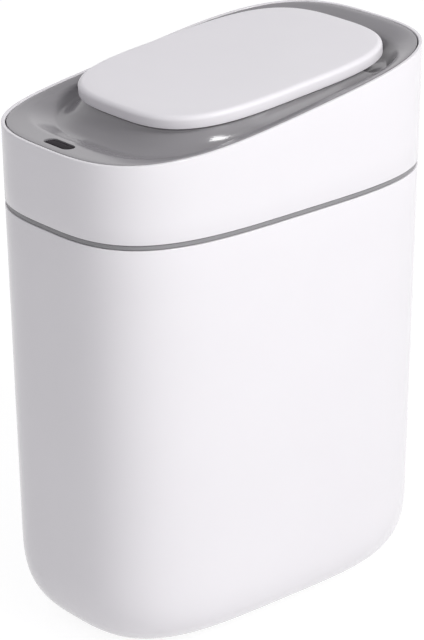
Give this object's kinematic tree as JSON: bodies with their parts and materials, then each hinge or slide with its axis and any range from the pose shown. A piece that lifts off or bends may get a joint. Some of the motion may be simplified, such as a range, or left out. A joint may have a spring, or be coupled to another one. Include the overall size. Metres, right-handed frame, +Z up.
{
  "type": "sensor bin",
  "caption": "Slim household waste bin with a rounded, tapered tub, a grey bag ring and a lift-off head whose motor opens a floating lid over a funnel mouth.",
  "frame": {"origin": "centre of the footprint, on the floor under the feet", "axes": "+Z up; -Y to the narrow end with the sensor window; +Y to the hinge end; X across, half the body on each side"},
  "size_m": [0.1688, 0.2718, 0.3639],
  "materials": {
    "shell_white": "gloss",
    "lid_white": "satin",
    "tray_gray": "semi-gloss",
    "band_gray": "satin",
    "window_dark": "gloss, passes infrared",
    "foot_rubber": "matt",
    "nylon_natural": "satin",
    "plastic_black": "satin",
    "steel": "plated",
    "board_green": "satin",
    "cell_jacket": "printed film",
    "lead_black": "satin"
  },
  "bodies": {
    "bin": {"outer_tub": "shell_white", "foot_pad_front_left": "foot_rubber", "foot_pad_front_right": "foot_rubber", "foot_pad_rear_left": "foot_rubber", "foot_pad_rear_right": "foot_rubber"},
    "bag_frame": {"bag_ring": "band_gray"},
    "lid": {"lid_plate": "lid_white", "lid_liner": "lid_white", "hinge_bracket": "tray_gray", "hinge_shaft": "steel", "bracket_screw_inner_left": "steel", "bracket_screw_inner_right": "steel", "bracket_screw_outer_left": "steel", "bracket_screw_outer_right": "steel", "liner_screw_left": "steel", "liner_screw_right": "steel"},
    "output": {"output_gear": "nylon_natural"},
    "second": {"second_gear": "nylon_natural"},
    "first": {"first_gear": "nylon_natural"},
    "rotor": {"motor_rotor": "steel"},
    "door": {"battery_door": "tray_gray"},
    "knob": {"switch_knob": "plastic_black"},
    "head": {"head_shell": "shell_white", "tray": "tray_gray", "base_cover": "tray_gray", "sensor_window": "window_dark", "ir_emitter": "window_dark", "gearbox_case": "plastic_black", "gearbox_cover": "plastic_black", "battery_box": "plastic_black", "switch_body": "plastic_black", "ir_receiver": "plastic_black", "output_axle": "steel", "second_axle": "steel", "first_axle": "steel", "motor_can": "steel", "battery_spring_front": "steel", "battery_spring_rear": "steel", "contact_bridge": "steel", "contact_plus": "steel", "contact_minus": "steel", "cover_screw_front_left": "steel", "cover_screw_front_right": "steel", "cover_screw_side_left": "steel", "cover_screw_side_right": "steel", "cover_screw_rear": "steel", "sensor_screw_left": "steel", "sensor_screw_right": "steel", "gearbox_screw_left": "steel", "gearbox_screw_rear": "steel", "board_screw_left": "steel", "board_screw_right": "steel", "sensor_board": "board_green", "control_board": "board_green", "battery_cell_front": "cell_jacket", "battery_cell_rear": "cell_jacket", "sensor_lead": "lead_black", "motor_lead": "lead_black", "battery_lead": "lead_black"}
  },
  "joints": [
    {"name": "head_lift", "type": "slide", "parent": "bin", "child": "head", "axis": [0, 0, 1], "range_m": [0, 0.1]},
    {"name": "ring_lift", "type": "slide", "parent": "bin", "child": "bag_frame", "axis": [0, 0, 1], "range_m": [0, 0.05]},
    {"name": "lid_hinge", "type": "hinge", "parent": "head", "child": "lid", "pos_m": [0, 0.101, 0.3572], "axis": [-1, 0, 0], "range_deg": [0, 80]},
    {"name": "output_spin", "type": "hinge", "parent": "head", "child": "output", "pos_m": [0, 0.08912, 0.34532], "axis": [-1, 0, 0], "range_deg": [-200, 0]},
    {"name": "second_spin", "type": "hinge", "parent": "head", "child": "second", "pos_m": [0, 0.08912, 0.33632], "axis": [-1, 0, 0], "range_deg": [0, 400]},
    {"name": "first_spin", "type": "hinge", "parent": "head", "child": "first", "pos_m": [0, 0.08912, 0.32682], "axis": [-1, 0, 0], "range_deg": [-1120, 0]},
    {"name": "rotor_spin", "type": "hinge", "parent": "head", "child": "rotor", "pos_m": [0, 0.08912, 0.31732], "axis": [-1, 0, 0], "range_deg": [0, 3136]},
    {"name": "battery_door_hinge", "type": "hinge", "parent": "head", "child": "door", "pos_m": [0, 0.0776, 0.284], "axis": [-1, 0, 0], "range_deg": [0, 75]},
    {"name": "switch_slide", "type": "slide", "parent": "head", "child": "knob", "axis": [1, 0, 0], "range_m": [0, 0.003]}
  ],
  "couplings": [
    {"joint": "ring_lift", "follows": "head_lift", "ratio": 0.5},
    {"joint": "output_spin", "follows": "lid_hinge", "ratio": -2.5},
    {"joint": "second_spin", "follows": "lid_hinge", "ratio": 5},
    {"joint": "first_spin", "follows": "lid_hinge", "ratio": -14},
    {"joint": "rotor_spin", "follows": "lid_hinge", "ratio": 39.2}
  ]
}
